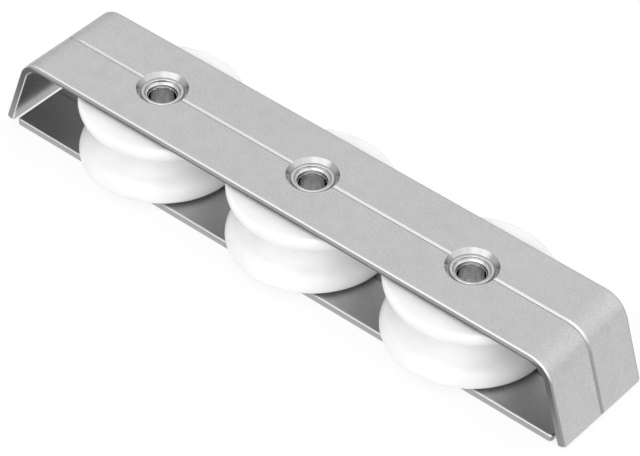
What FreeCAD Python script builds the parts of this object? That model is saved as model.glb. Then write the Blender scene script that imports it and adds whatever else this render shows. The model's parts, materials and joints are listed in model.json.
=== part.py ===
import FreeCAD, Part
import math
import os

# Deck organizer: three rope sheaves between a bent cover strip and a flat base strip
# Frame: origin under the middle of the base, +X along the strips, +Y to the far side, +Z up
# Lengths are in millimetres and angles in degrees

# Strip that both plates are cut from
strip_width = 29.7
strip_thickness = 2.0
strip_upper_round = 0.6
strip_lower_round = 0.5
strip_corner_round = 1.0
strip_groove_width = 1.1
strip_groove_depth = 0.37

# Sheaves
sheave_diameter = 41.5
sheave_width = 18.2
sheave_gap = 6.5
hub_diameter = 18.0
hub_rise = 0.5
flange_edge_round = 1.0
flange_side_round = 4.25
flange_side_turn = 71.5
hub_edge_break = 0.3
running_clearance = 0.05
side_clearance = 0.15

# Bushes, tubes with a shoulder and a spun lip at each end
screw_bore = 6.9
spigot_wall = 1.05
shoulder_width = 1.0
shoulder_edge_break = 0.2
lip_thickness = 0.6
lip_depth = 0.8
throat_depth = 2.8
throat_flare = 0.55
throat_ledge = 0.14

# Cover legs and plate ends
end_room = 11.8
leg_slant = 18.0
bend_radius = 7.1
base_end_gap = 1.2

# Sizes worked out from the ones above
half_width = strip_width / 2
sheave_radius = sheave_diameter / 2
sheave_pitch = sheave_diameter + sheave_gap
inner_height = sheave_width + 2 * side_clearance
cover_underside = strip_thickness + inner_height
cover_top = cover_underside + strip_thickness
mid_height = cover_top / 2
bore_radius = screw_bore / 2
spigot_radius = bore_radius + spigot_wall
bush_radius = spigot_radius + shoulder_width
corner_x = sheave_pitch + sheave_radius + end_room
slant = math.radians(leg_slant)
leg_turn = 90.0 - leg_slant
bend_setback = bend_radius * math.tan(math.radians(leg_turn) / 2)
bend_x = corner_x - bend_setback
corner_overhang = strip_lower_round * (math.cos(slant) + math.sin(slant) - 1)
leg_end_rise = strip_thickness * math.sin(slant) - corner_overhang
leg_length = (cover_top - leg_end_rise) / math.cos(slant) - bend_setback
leg_level_width = strip_thickness / math.cos(slant)
leg_inner_x = corner_x + (cover_top - strip_thickness) * math.tan(slant) - leg_level_width
base_half_length = leg_inner_x - base_end_gap
places = {"left": -sheave_pitch, "middle": 0.0, "right": sheave_pitch}

Vec = FreeCAD.Vector
UP = Vec(0, 0, 1)
ALONG = Vec(1, 0, 0)
ACROSS = Vec(0, 1, 0)


def line(a, b):
    return Part.makeLine(a, b)


def arc(centre, radius, start, end, plane):
    """Arc about a centre from one angle to another, in the plane that the function plane(u, v) gives."""
    angles = (math.radians(start), math.radians((start + end) / 2), math.radians(end))
    u0, v0 = centre
    points = [plane(u0 + radius * math.cos(a), v0 + radius * math.sin(a)) for a in angles]
    return Part.Arc(*points).toShape()


def joined(edges, plane, points):
    """Edges followed by straight lines through the given points, as one list."""
    out = list(edges)
    for a, b in zip(points[:-1], points[1:]):
        out.append(line(plane(*a), plane(*b)))
    return out


# The strip's section, in the plane X = x with its underside at z
def strip_section(x, z):
    def at(y, h):
        return Vec(x, y, z + h)

    top = strip_thickness
    upper = strip_upper_round
    lower = strip_lower_round
    edges = [
        line(at(lower - half_width, 0), at(half_width - lower, 0)),
        arc((half_width - lower, lower), lower, -90, 0, at),
        line(at(half_width, lower), at(half_width, top - upper)),
        arc((half_width - upper, top - upper), upper, 0, 90, at),
        line(at(half_width - upper, top), at(strip_groove_width / 2, top)),
        line(at(strip_groove_width / 2, top), at(0, top - strip_groove_depth)),
        line(at(0, top - strip_groove_depth), at(-strip_groove_width / 2, top)),
        line(at(-strip_groove_width / 2, top), at(upper - half_width, top)),
        arc((upper - half_width, top - upper), upper, 90, 180, at),
        line(at(-half_width, top - upper), at(-half_width, lower)),
        arc((lower - half_width, lower), lower, 180, 270, at),
    ]
    return Part.Face(Part.Wire(Part.__sortEdges__(edges)))


# Straight end of the strip, from X = 0 to its cut end, with the edge rounds carried on round that end
def strip_end(length):
    def at(x, y):
        return Vec(x, y, 0)

    corner = strip_corner_round
    corner_start = length - corner
    edges = [
        arc((corner_start, half_width - corner), corner, 90, 0, at),
        arc((corner_start, corner - half_width), corner, 0, -90, at),
        line(at(length, half_width - corner), at(length, corner - half_width)),
    ]
    outline = [(corner_start, -half_width), (0, -half_width), (0, half_width), (corner_start, half_width)]
    blank = Part.Face(Part.Wire(Part.__sortEdges__(joined(edges, at, outline)))).extrude(UP * strip_thickness)
    for height, radius in ((strip_thickness, strip_upper_round), (0, strip_lower_round)):
        rim = [edge for edge in blank.Edges if lies_at(edge, height) and edge.BoundBox.XMax > strip_thickness]
        blank = blank.makeFillet(radius, rim)
    overshoot = 0.5
    reach = strip_groove_width / 2 * (1 + overshoot / strip_groove_depth)
    bottom = (0, -strip_groove_depth)
    groove_corners = [bottom, (reach, overshoot), (-reach, overshoot), bottom]
    groove = Part.Face(Part.makePolygon([Vec(-overshoot, y, strip_thickness + h) for y, h in groove_corners]))
    return blank.cut(groove.extrude(ALONG * (length + 2 * overshoot)))


def lies_at(edge, height):
    """Whether an edge lies flat at a height."""
    tiny = 0.001
    return abs(edge.BoundBox.ZMin - height) < tiny and abs(edge.BoundBox.ZMax - height) < tiny


# A 90 degree countersink through a plate, from the face at `mouth` narrowing to the other face
def countersink(x, mouth, towards):
    overshoot = 0.5
    wide = spigot_radius + strip_thickness + overshoot
    narrow = spigot_radius - overshoot
    height = strip_thickness + 2 * overshoot
    start = Vec(x, 0, mouth - towards * overshoot)
    return Part.makeCone(wide, narrow, height, start, UP * towards)


def cover_plate():
    flat = strip_section(-bend_x, cover_underside).extrude(ALONG * (2 * bend_x))
    bend_axis = Vec(bend_x, 0, cover_top - bend_radius)
    bend = strip_section(bend_x, cover_underside).revolve(bend_axis, ACROSS, leg_turn)
    leg = strip_end(leg_length)
    leg.translate(Vec(bend_x, 0, cover_underside))
    leg.rotate(bend_axis, ACROSS, leg_turn)
    ends = [bend, leg]
    ends += [piece.mirror(Vec(0, 0, 0), ALONG) for piece in (bend, leg)]
    body = flat.multiFuse(ends).removeSplitter()
    holes = [countersink(x, cover_top, -1) for x in places.values()]
    return body.cut(Part.makeCompound(holes)).Solids[0]


def base_plate():
    half = strip_end(base_half_length)
    body = half.fuse(half.mirror(Vec(0, 0, 0), ALONG)).removeSplitter()
    holes = [countersink(x, 0, 1) for x in places.values()]
    return body.cut(Part.makeCompound(holes)).Solids[0]


def turned(edges, x):
    """Solid turned about the upright axis at x from edges drawn in the plane Y = 0."""
    face = Part.Face(Part.Wire(Part.__sortEdges__(edges)))
    return face.revolve(Vec(x, 0, 0), UP, 360)


# Rope sheave: two round-edged flanges that run tangent into the rope seat, and a raised hub
def sheave(x):
    def at(r, h):
        return Vec(x + r, 0, mid_height + h)

    turn = math.radians(flange_side_turn)
    hub_half = sheave_width / 2
    face_half = hub_half - hub_rise
    widest = face_half - flange_edge_round
    seat_radius = widest / math.sin(turn) - flange_side_round
    side_centre = sheave_radius - flange_side_round
    seat_centre = side_centre + (flange_side_round + seat_radius) * math.cos(turn)
    bore = bush_radius + running_clearance
    hub = hub_diameter / 2
    broken = hub_edge_break
    edge_centre = sheave_radius - flange_edge_round
    edges = [
        arc((edge_centre, widest), flange_edge_round, 90, 0, at),
        arc((side_centre, widest), flange_side_round, 0, -flange_side_turn, at),
        arc((seat_centre, 0), seat_radius, 180 - flange_side_turn, 180 + flange_side_turn, at),
        arc((side_centre, -widest), flange_side_round, flange_side_turn, 0, at),
        arc((edge_centre, -widest), flange_edge_round, 0, -90, at),
    ]
    outline = [
        (edge_centre, -face_half),
        (hub, -face_half),
        (hub - hub_rise, -hub_half),
        (bore + broken, -hub_half),
        (bore, broken - hub_half),
        (bore, hub_half - broken),
        (bore + broken, hub_half),
        (hub - hub_rise, hub_half),
        (hub, face_half),
        (edge_centre, face_half),
    ]
    return turned(joined(edges, at, outline), x)


# Bush: a shouldered tube whose ends are spun outwards into the plates' countersinks
def bush(x):
    def at(r, h):
        return Vec(x + r, 0, mid_height + h)

    slope = math.sqrt(0.5)
    shoulder = inner_height / 2
    half_lip = lip_thickness / 2
    lip_height = shoulder + strip_thickness - lip_depth - half_lip
    lip_radius = spigot_radius + (lip_height - shoulder) - half_lip / slope
    ledge_radius = bore_radius + throat_flare + throat_ledge
    ledge_height = lip_height + half_lip * slope - (lip_radius - half_lip * slope - ledge_radius)
    throat_height = shoulder + strip_thickness - throat_depth
    broken = shoulder_edge_break
    outer_foot = (lip_radius + half_lip * slope, lip_height - half_lip * slope)
    inner_foot = (lip_radius - half_lip * slope, lip_height + half_lip * slope)
    outside = [
        outer_foot,
        (spigot_radius, shoulder),
        (bush_radius - broken, shoulder),
        (bush_radius, shoulder - broken),
        (bush_radius, broken - shoulder),
        (bush_radius - broken, -shoulder),
        (spigot_radius, -shoulder),
        (outer_foot[0], -outer_foot[1]),
    ]
    inside = [
        inner_foot,
        (ledge_radius, ledge_height),
        (ledge_radius - throat_ledge, ledge_height),
        (bore_radius, throat_height),
        (bore_radius, -throat_height),
        (ledge_radius - throat_ledge, -ledge_height),
        (ledge_radius, -ledge_height),
        (inner_foot[0], -inner_foot[1]),
    ]
    lips = [
        arc((lip_radius, lip_height), half_lip, -45, 135, at),
        arc((lip_radius, -lip_height), half_lip, 45, -135, at),
    ]
    return turned(joined(joined(lips, at, outside), at, inside), x)


def main():
    os.makedirs("parts", exist_ok=True)
    pieces = {"cover_plate": cover_plate(), "base_plate": base_plate()}
    for name, x in places.items():
        pieces[name + "_sheave"] = sheave(x)
        pieces[name + "_bush"] = bush(x)
    for node, shape in pieces.items():
        shape.exportStep("parts/" + node + ".step")
        print(node, shape.ShapeType, shape.isValid(), round(shape.Volume, 1), shape.BoundBox)


main()
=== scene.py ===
import json
import math

import bpy
from mathutils import Matrix, Vector


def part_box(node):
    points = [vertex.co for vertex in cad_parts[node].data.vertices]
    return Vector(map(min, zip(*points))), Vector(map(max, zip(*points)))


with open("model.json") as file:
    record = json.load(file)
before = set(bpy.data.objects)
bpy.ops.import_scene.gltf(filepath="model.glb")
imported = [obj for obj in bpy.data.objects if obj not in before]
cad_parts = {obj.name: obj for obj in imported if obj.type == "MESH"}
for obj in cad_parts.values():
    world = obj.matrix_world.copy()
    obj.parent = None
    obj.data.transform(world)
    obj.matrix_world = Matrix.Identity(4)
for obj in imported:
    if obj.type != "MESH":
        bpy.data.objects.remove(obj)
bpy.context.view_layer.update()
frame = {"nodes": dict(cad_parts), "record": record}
nodes = frame["nodes"]
bores = {mount["name"]: mount for mount in frame["record"]["mounts"] if mount["kind"] == "bore"}
MM = 0.001

# Camera, fitted to edges and hole rims of the photograph: angles in degrees, lengths in millimetres
CAMERA_AZIMUTH = 38.457
CAMERA_ELEVATION = 42.048
CAMERA_ROLL = 2.259
CAMERA_DISTANCE = 757.058
CAMERA_AIM_ACROSS = 2.362
CAMERA_AIM_UP = 3.606
CAMERA_AIM_HEIGHT = 0.5
FOCAL_PIXELS = 3128.559
FRAME_WIDTH = 640
SENSOR_WIDTH = 36.0

# Places on the fitting that the finishes follow, in metres
PITCH = bores["right_screw_bore"]["pos_m"][0] - bores["middle_screw_bore"]["pos_m"][0]
BORE_RADIUS = bores["middle_screw_bore"]["dims"]["r_mm"] * MM
COVER_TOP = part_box("cover_plate")[1].z
COUNTERSINK_RADIUS = 6.5 * MM
GROOVE_HALF = 0.6 * MM

# Ranges in metres over which one finish, tone or painted light gives way to the next
BORE_EDGE = (BORE_RADIUS + 0.05 * MM, BORE_RADIUS + 0.1 * MM)
COUNTERSINK_EDGE = (COUNTERSINK_RADIUS, COUNTERSINK_RADIUS + 0.04 * MM)
GROOVE_EDGE = (GROOVE_HALF, GROOVE_HALF + 0.1 * MM)
# Heights over which the groove's painted highlight, the painted floor reflection up the sides and the
# painted highlight under the top rim fade
GROOVE_HIGHLIGHT_RISE = (16.0 * MM, 20.5 * MM)
FLOOR_REFLECTION_RISE = (0.0, 18.0 * MM)
UNDER_RIM_HIGHLIGHT_BAND = (COVER_TOP - 1.7 * MM, COVER_TOP - 0.6 * MM)

# The same by the parts of the surface's normal: upward, across the strip, or across it either way. Most of
# them place painted shade and painted highlights
INSIDE_TO_OUTSIDE = (-0.2, 0.1)
LEG_TO_FLAT = (0.3, 0.6)
LEG_RIM_TO_FLAT_RIM = (0.33, 0.43)
LEG_RIM_TO_INNER_RIM = (-0.02, -0.12)
NEAR_RIM_TO_FAR_RIM = (-0.1, 0.1)
FAR_WALL_TO_NEAR_WALL = (-0.2, 0.2)
FACE_TO_RIM = (0.03, 0.15)
FACE_TO_SMOOTH_RIM = (0.05, 0.25)
FLAT_TO_GROOVE_WALL = (0.2, 0.4)
RIM_TO_SIDE = (0.7, 0.97)

# Tones of the two anodised plates, with painted light and shade, and the roughness of their outer faces
# Only the outer tone is the metal's own: inner faces and sides are painted shade, rims painted highlight,
# feet painted reflection of the floor
COVER_TONES_AND_PAINTED_LIGHT = {"outside": 0.63, "shaded_inside": 0.41, "rim_highlight": 0.78, "side_shade": 0.12, "foot_reflection": 0.3, "roughness": 0.55}
# The whole base is set darker than the cover as painted shade under it
BASE_TONES_AND_PAINTED_LIGHT = {"outside": 0.48, "shaded_inside": 0.48, "rim_highlight": 0.64, "side_shade": 0.42, "foot_reflection": 0.42, "roughness": 0.36}

# Painted light on the plates: the legs' share of the flat tone, the legs' rim tone and the far rims' share
# as painted shade, the gain under the top rim as painted highlight, the far groove wall's tones as painted
# highlight and the near wall's tone as painted shade
LEG_SHADE_SHARE = 0.96
LEG_RIM_SHADE_TONE = 0.33
FAR_RIM_SHADE_SHARE = 0.7
UNDER_RIM_HIGHLIGHT_GAIN = 3.4
FAR_WALL_HIGHLIGHT_TONES = (0.36, 0.62)
NEAR_WALL_SHADE_TONE = 0.3
# The countersinks' own tone, and roughness and its changes at places on the plates and bushes
COUNTERSINK_TONE = 0.47
INSIDE_ROUGHNESS = 0.3
RIM_ROUGHNESS = 0.36
LOWEST_ROUGHNESS = 0.1
COUNTERSINK_POLISH = 0.34
COUNTERSINK_ANISOTROPY = 0.85
BORE_ROUGHENING = 0.02

# Noises of the finishes: scale in features per metre, detail, roughness
GRAIN = (2000, 3, 0.6)
PATCHES = (260, 3, 0.55)
CLOUDS = (40, 2, 0.5)
COUNTERSINK_RINGS = (3500, 1, 0.5)
PLASTIC_CLOUDS = (120, 3, 0.5)
PLASTIC_RINGS = (3500, 2, 0.5)
PLASTIC_GRAIN = (1500, 2, 0.5)
STEEL_RINGS = (2600, 1, 0.5)
STEEL_SMEARS = (420, 2, 0.5)

# Used parts of a noise's range, and how far the anodising's noises change its tone and roughness
NOISE_SPREAD = (0.3, 0.7)
NOISE_MIDDLE = (0.35, 0.65)
GRAIN_SHARE = 0.11
PATCH_SHARE = 0.03
CLOUD_SHARE = 0.015
GRAIN_ROUGHNESS = 0.04

# Depths of the relief in the finishes and spacing of the ridges in a bush, in metres
FINE_RELIEF = 0.02 * MM
RING_RELIEF = 0.04 * MM
RIDGE_RELIEF = 0.16 * MM
RIDGE_SPACING = 1.7 * MM

# Studio floor: sizes and reach in metres, levels near the fitting and far from it, share of the glow
FLOOR_SIZE = 6
FLOOR_DROP = 0.02 * MM
GLOW_REACH = (0.25, 0.8)
GLOW_LEVELS = (1.0, 0.3)
GLOW_SHARE = 0.85

# World light by the upward part of its direction, and one soft lamp, its place and size in metres
SKY_RISE = (0.0, 0.45)
SKY_LEVELS = (0.18, 0.86)
LAMP_PLACE = (-0.3, -0.55, 0.62)
LAMP_SIZE = 0.5
LAMP_LEVEL = 0.16

# Soft patches of the world light: direction, where each is full and where it ends in degrees, gain
SOFT_PATCHES = (
    ((0.0, -0.62, 0.78), 15, 42, 0.95),
    ((0.72, 0.15, 0.65), 12, 42, 0.5),
    ((0.77, -0.62, 0.15), 12, 55, 0.62),
)


def photo_camera():
    """Camera at the photograph's viewing angle, distance and framing."""
    azimuth = math.radians(CAMERA_AZIMUTH)
    elevation = math.radians(CAMERA_ELEVATION)
    roll = math.radians(CAMERA_ROLL)
    flat = math.cos(elevation)
    back = Vector((math.sin(azimuth) * flat, -math.cos(azimuth) * flat, math.sin(elevation)))
    level = Vector((0, 0, 1)).cross(back).normalized()
    steep = back.cross(level)
    right = math.cos(roll) * level + math.sin(roll) * steep
    up = math.cos(roll) * steep - math.sin(roll) * level
    place = CAMERA_AIM_ACROSS * right + CAMERA_AIM_UP * up + CAMERA_DISTANCE * back
    place.z += CAMERA_AIM_HEIGHT
    data = bpy.data.cameras.new("photo_camera")
    data.sensor_width = SENSOR_WIDTH
    data.lens = FOCAL_PIXELS * SENSOR_WIDTH / FRAME_WIDTH
    camera = bpy.data.objects.new("photo_camera", data)
    camera.matrix_world = Matrix.Translation(place * MM) @ Matrix((right, up, back)).transposed().to_4x4()
    bpy.context.scene.collection.objects.link(camera)
    bpy.context.scene.camera = camera


class Nodes:
    """Short way to write a node tree: most calls make a node and give back its socket."""

    def __init__(self, tree):
        self.tree = tree

    def make(self, kind, **settings):
        """A new node with the given settings."""
        node = self.tree.nodes.new(kind)
        for key, value in settings.items():
            setattr(node, key, value)
        return node

    def feed(self, socket, value):
        """Links another node's socket, or sets a plain value on the socket itself."""
        if isinstance(value, bpy.types.NodeSocket):
            self.tree.links.new(value, socket)
        else:
            socket.default_value = value

    def fill(self, node, inputs):
        """Feeds a node's inputs by name."""
        for name, value in inputs.items():
            self.feed(node.inputs[name], value)

    def result(self, node, *values):
        """Feeds a node's first inputs in their order and gives its first output."""
        for socket, value in zip(node.inputs, values):
            self.feed(socket, value)
        return node.outputs[0]

    def math(self, operation, *values):
        return self.result(self.make("ShaderNodeMath", operation=operation), *values)

    def add(self, a, b):
        return self.math("ADD", a, b)

    def times(self, a, b):
        return self.math("MULTIPLY", a, b)

    def larger(self, a, b):
        return self.math("MAXIMUM", a, b)

    def inverted(self, mask):
        return self.math("SUBTRACT", 1.0, mask)

    def length(self, x, y):
        return self.math("SQRT", self.add(self.times(x, x), self.times(y, y)))

    def between(self, value, low, high, to_low=0.0, to_high=1.0, smooth=True):
        """Maps the range from low to high onto another, and holds the ends beyond it."""
        node = self.make("ShaderNodeMapRange", interpolation_type="SMOOTHSTEP" if smooth else "LINEAR")
        return self.result(node, value, low, high, to_low, to_high)

    def spread(self, noise, low, high):
        """Maps a noise straight onto the range from low to high."""
        return self.between(noise, *NOISE_SPREAD, low, high, smooth=False)

    def noise(self, vector, scale, detail, roughness):
        node = self.make("ShaderNodeTexNoise")
        self.fill(node, {"Vector": vector, "Scale": scale, "Detail": detail, "Roughness": roughness})
        return node.outputs["Fac"]

    def blend(self, factor, a, b):
        node = self.make("ShaderNodeMix", data_type="RGBA")
        self.fill(node, {"Factor": factor, "A": a, "B": b})
        return node.outputs["Result"]

    def bump(self, height, strength, distance, over=None):
        """Bumps of a height, over those of another normal where one is given."""
        node = self.make("ShaderNodeBump")
        self.fill(node, {"Height": height, "Strength": strength, "Distance": distance})
        if over is not None:
            self.feed(node.inputs["Normal"], over)
        return node.outputs["Normal"]

    def place(self):
        """Where the shaded point is on its object, at rest."""
        return self.make("ShaderNodeTexCoord").outputs["Object"]

    def facing(self):
        """Which way the surface faces, at rest."""
        return self.make("ShaderNodeTexCoord").outputs["Normal"]

    def parts(self, vector):
        """The three sockets of a vector's parts."""
        node = self.make("ShaderNodeSeparateXYZ")
        self.feed(node.inputs[0], vector)
        return node.outputs

    def joined(self, x, y, z):
        return self.result(self.make("ShaderNodeCombineXYZ"), x, y, z)

    def even(self, tone):
        """The grey colour of a tone."""
        return self.joined(tone, tone, tone)


def grey(value, warmth=0.0):
    """A grey colour, with a little more red and less blue where it is warm."""
    return (value * (1 + warmth), value, value * (1 - warmth), 1)


def new_material(name):
    material = bpy.data.materials.new(name)
    material.use_nodes = True
    shader = material.node_tree.nodes["Principled BSDF"]
    return material, Nodes(material.node_tree), shader


def from_hole(n, place):
    """Steps along X and Y from the axis of the nearest screw hole."""
    x, y, _ = n.parts(place)
    return n.math("WRAP", x, PITCH / 2, -PITCH / 2), y


def hole_radius(n, place):
    """Distance from the axis of the nearest screw hole."""
    return n.length(*from_hole(n, place))


def lathe_direction(n, place):
    """Direction of the turning marks around the nearest screw hole."""
    x, y = from_hole(n, place)
    return n.joined(n.times(y, -1.0), x, 0.0)


def face_tone_and_painted_shade(n, place, upward, grain, outside, shaded_inside):
    """Outer and inner faces, the inner faces and the legs darker than the flat as painted shade, uneven at
    three scales.
    """
    outer_tone = n.between(upward, *LEG_TO_FLAT, LEG_SHADE_SHARE * outside, outside)
    tone = n.between(upward, *INSIDE_TO_OUTSIDE, shaded_inside, outer_tone)
    uneven = n.spread(grain, -GRAIN_SHARE, GRAIN_SHARE)
    for kind, share in ((PATCHES, PATCH_SHARE), (CLOUDS, CLOUD_SHARE)):
        uneven = n.add(uneven, n.spread(n.noise(place, *kind), -share, share))
    return n.even(n.math("MULTIPLY_ADD", tone, uneven, tone))


def painted_rim_light(n, across, upward, rim_highlight):
    """Rounded edges of the faces as painted highlight, darker down the outside of the legs and along the
    far edge as painted shade.
    """
    highlight_mask = n.larger(n.between(upward, *LEG_RIM_TO_FLAT_RIM), n.between(upward, *LEG_RIM_TO_INNER_RIM))
    tone = n.math("MULTIPLY_ADD", highlight_mask, rim_highlight - LEG_RIM_SHADE_TONE, LEG_RIM_SHADE_TONE)
    return n.even(n.times(tone, n.between(across, *NEAR_RIM_TO_FAR_RIM, 1.0, FAR_RIM_SHADE_SHARE)))


def painted_side_light(n, height, side_shade, foot_reflection):
    """Sides of the strip in painted shade; on the cover lighter close under the top edge as painted
    highlight, and towards the legs' feet as painted reflection of the floor.
    """
    under_rim_highlight = n.between(height, *UNDER_RIM_HIGHLIGHT_BAND, side_shade, UNDER_RIM_HIGHLIGHT_GAIN * side_shade)
    return n.even(n.larger(under_rim_highlight, n.between(height, *FLOOR_REFLECTION_RISE, foot_reflection, side_shade)))


def painted_groove_light(n, height, across):
    """Walls of the groove along the middle: the far one a painted highlight, brightest on top, the near
    one dark as painted shade.
    """
    far_wall_highlight = n.even(n.between(height, *GROOVE_HIGHLIGHT_RISE, *FAR_WALL_HIGHLIGHT_TONES))
    return n.blend(n.between(across, *FAR_WALL_TO_NEAR_WALL), far_wall_highlight, grey(NEAR_WALL_SHADE_TONE))


def anodised(name, outside, shaded_inside, rim_highlight, side_shade, foot_reflection, roughness):
    """Satin anodised strip: mottled faces, rounded rims, sides, a groove and turned countersinks, with
    painted shade and painted highlights on the faces, rims, sides and groove.
    """
    material, n, shader = new_material(name)
    place = n.place()
    _, y, height = n.parts(place)
    _, across, upward = n.parts(n.facing())
    sideways = n.math("ABSOLUTE", across)
    radius = hole_radius(n, place)
    grain = n.noise(place, *GRAIN)
    off_centre = n.math("ABSOLUTE", y)
    on_wall = n.between(sideways, *FLAT_TO_GROOVE_WALL)
    in_groove = n.times(on_wall, n.between(off_centre, *GROOVE_EDGE, 1.0, 0.0))
    turned = n.between(radius, *COUNTERSINK_EDGE, 1.0, 0.0, smooth=False)

    # The colours below carry painted shade and painted highlights on faces, rims, sides and groove walls
    face = face_tone_and_painted_shade(n, place, upward, grain, outside, shaded_inside)
    color = n.blend(n.between(sideways, *FACE_TO_RIM), face, painted_rim_light(n, across, upward, rim_highlight))
    color = n.blend(n.between(sideways, *RIM_TO_SIDE), color, painted_side_light(n, height, side_shade, foot_reflection))
    color = n.blend(in_groove, color, painted_groove_light(n, height, across))
    color = n.blend(turned, color, grey(COUNTERSINK_TONE))

    rough = n.between(upward, *INSIDE_TO_OUTSIDE, INSIDE_ROUGHNESS, roughness)
    rough = n.add(rough, n.spread(grain, -GRAIN_ROUGHNESS, GRAIN_ROUGHNESS))
    rim_change = RIM_ROUGHNESS - roughness
    rough = n.math("MULTIPLY_ADD", n.between(sideways, *FACE_TO_SMOOTH_RIM), rim_change, rough)
    rough = n.math("MULTIPLY_ADD", turned, -COUNTERSINK_POLISH, rough)

    rings = n.noise(n.joined(radius, 0.0, 0.0), *COUNTERSINK_RINGS)
    satin = n.bump(n.times(grain, n.inverted(turned)), strength=0.3, distance=FINE_RELIEF)
    n.fill(shader, {
        "Base Color": color,
        "Metallic": 1.0,
        "Roughness": n.larger(rough, LOWEST_ROUGHNESS),
        "Anisotropic": n.times(turned, COUNTERSINK_ANISOTROPY),
        "Tangent": lathe_direction(n, place),
        "Normal": n.bump(n.times(rings, turned), strength=0.2, distance=FINE_RELIEF, over=satin),
    })
    return material


def acetal(name):
    """White turned plastic: faint lathe rings, fine grain and a soft, slightly uneven sheen."""
    material, n, shader = new_material(name)
    place = n.place()
    height = n.parts(place)[2]
    clouds = n.noise(place, *PLASTIC_CLOUDS)
    cleaner = n.between(clouds, *NOISE_MIDDLE)
    rings = n.noise(n.joined(hole_radius(n, place), height, 0.0), *PLASTIC_RINGS)
    turned = n.bump(rings, strength=0.12, distance=FINE_RELIEF)
    n.fill(shader, {
        "Base Color": n.blend(cleaner, grey(0.82, warmth=0.003), grey(0.86, warmth=0.001)),
        "Roughness": n.spread(clouds, 0.3, 0.38),
        "IOR": 1.48,
        "Subsurface Weight": 0.35,
        "Subsurface Radius": (1.0, 0.95, 0.9),
        "Subsurface Scale": 3.0 * MM,
        "Normal": n.bump(n.noise(place, *PLASTIC_GRAIN), strength=0.08, distance=FINE_RELIEF, over=turned),
    })
    return material


def stainless(name):
    """Polished stainless steel with the ridges and fine rings that the spinning tool leaves."""
    material, n, shader = new_material(name)
    place = n.place()
    height = n.parts(place)[2]
    radius = hole_radius(n, place)
    in_bore = n.between(radius, *BORE_EDGE, 1.0, 0.0)
    smears = n.between(n.noise(place, *STEEL_SMEARS), *NOISE_MIDDLE)
    rings = n.noise(n.joined(radius, height, 0.0), *STEEL_RINGS)
    ridges = n.math("SINE", n.times(n.add(radius, height), math.tau / RIDGE_SPACING))
    ridges = n.times(ridges, n.inverted(in_bore))
    turned = n.bump(rings, strength=0.4, distance=RING_RELIEF)
    n.fill(shader, {
        "Base Color": n.blend(smears, grey(0.58, warmth=0.003), grey(0.68, warmth=0.003)),
        "Metallic": 1.0,
        "Roughness": n.math("MULTIPLY_ADD", in_bore, BORE_ROUGHENING, n.spread(rings, 0.05, 0.1)),
        "Anisotropic": 0.5,
        "Tangent": lathe_direction(n, place),
        "Normal": n.bump(ridges, strength=1.0, distance=RIDGE_RELIEF, over=turned),
    })
    return material


def dress():
    """Gives each CAD node its material; the plates' materials hold painted light and shade."""
    plates = {
        "cover_plate": anodised("cover_anodising_and_painted_light", **COVER_TONES_AND_PAINTED_LIGHT),
        "base_plate": anodised("base_anodising_and_painted_light", **BASE_TONES_AND_PAINTED_LIGHT),
    }
    plastic = acetal("sheave_acetal")
    steel = stainless("bush_stainless")
    for name, node in nodes.items():
        node.data.materials.clear()
        node.data.materials.append(plates.get(name, plastic if "sheave" in name else steel))


def floor():
    """Pale paper that shows white to the camera and in reflections, and keeps the fitting's shadow."""
    bpy.ops.mesh.primitive_plane_add(size=FLOOR_SIZE, location=(0, 0, -FLOOR_DROP))
    ground = bpy.context.object
    ground.name = "floor"
    material, n, shader = new_material("floor_paper")
    n.fill(shader, {"Base Color": grey(0.93), "Roughness": 0.9})
    x, y, _ = n.parts(n.place())
    glow = n.make("ShaderNodeEmission")
    n.fill(glow, {"Strength": n.between(n.length(x, y), *GLOW_REACH, *GLOW_LEVELS)})
    rays = n.make("ShaderNodeLightPath").outputs
    seen = n.larger(rays["Is Camera Ray"], n.larger(rays["Is Glossy Ray"], rays["Is Transmission Ray"]))
    share = n.times(seen, GLOW_SHARE)
    paper = n.result(n.make("ShaderNodeMixShader"), share, shader.outputs[0], glow.outputs[0])
    n.feed(material.node_tree.nodes["Material Output"].inputs["Surface"], paper)
    ground.data.materials.append(material)


def world_light():
    """A sky that brightens upwards, with soft patches of more light."""
    world = bpy.data.worlds.new("studio")
    world.use_nodes = True
    n = Nodes(world.node_tree)
    sky = n.make("ShaderNodeTexCoord").outputs["Generated"]
    light = n.between(n.parts(sky)[2], *SKY_RISE, *SKY_LEVELS)
    for direction, full, end, gain in SOFT_PATCHES:
        dot = n.make("ShaderNodeVectorMath", operation="DOT_PRODUCT")
        n.feed(dot.inputs[0], sky)
        n.feed(dot.inputs[1], Vector(direction).normalized())
        near = n.between(dot.outputs["Value"], math.cos(math.radians(end)), math.cos(math.radians(full)))
        light = n.math("MULTIPLY_ADD", near, gain, light)
    n.fill(world.node_tree.nodes["Background"], {"Color": grey(1.0), "Strength": light})
    bpy.context.scene.world = world


def softbox():
    """One soft lamp in front, aimed at the fitting. Its energy follows its area, so its level holds."""
    data = bpy.data.lights.new("front_softbox", "AREA")
    data.size = LAMP_SIZE
    data.energy = LAMP_LEVEL * math.pi * LAMP_SIZE * LAMP_SIZE
    lamp = bpy.data.objects.new("front_softbox", data)
    lamp.location = LAMP_PLACE
    lamp.rotation_euler = lamp.location.to_track_quat("Z", "Y").to_euler()
    bpy.context.scene.collection.objects.link(lamp)


bpy.context.scene.view_settings.view_transform = "Standard"
photo_camera()
dress()
floor()
world_light()
softbox()
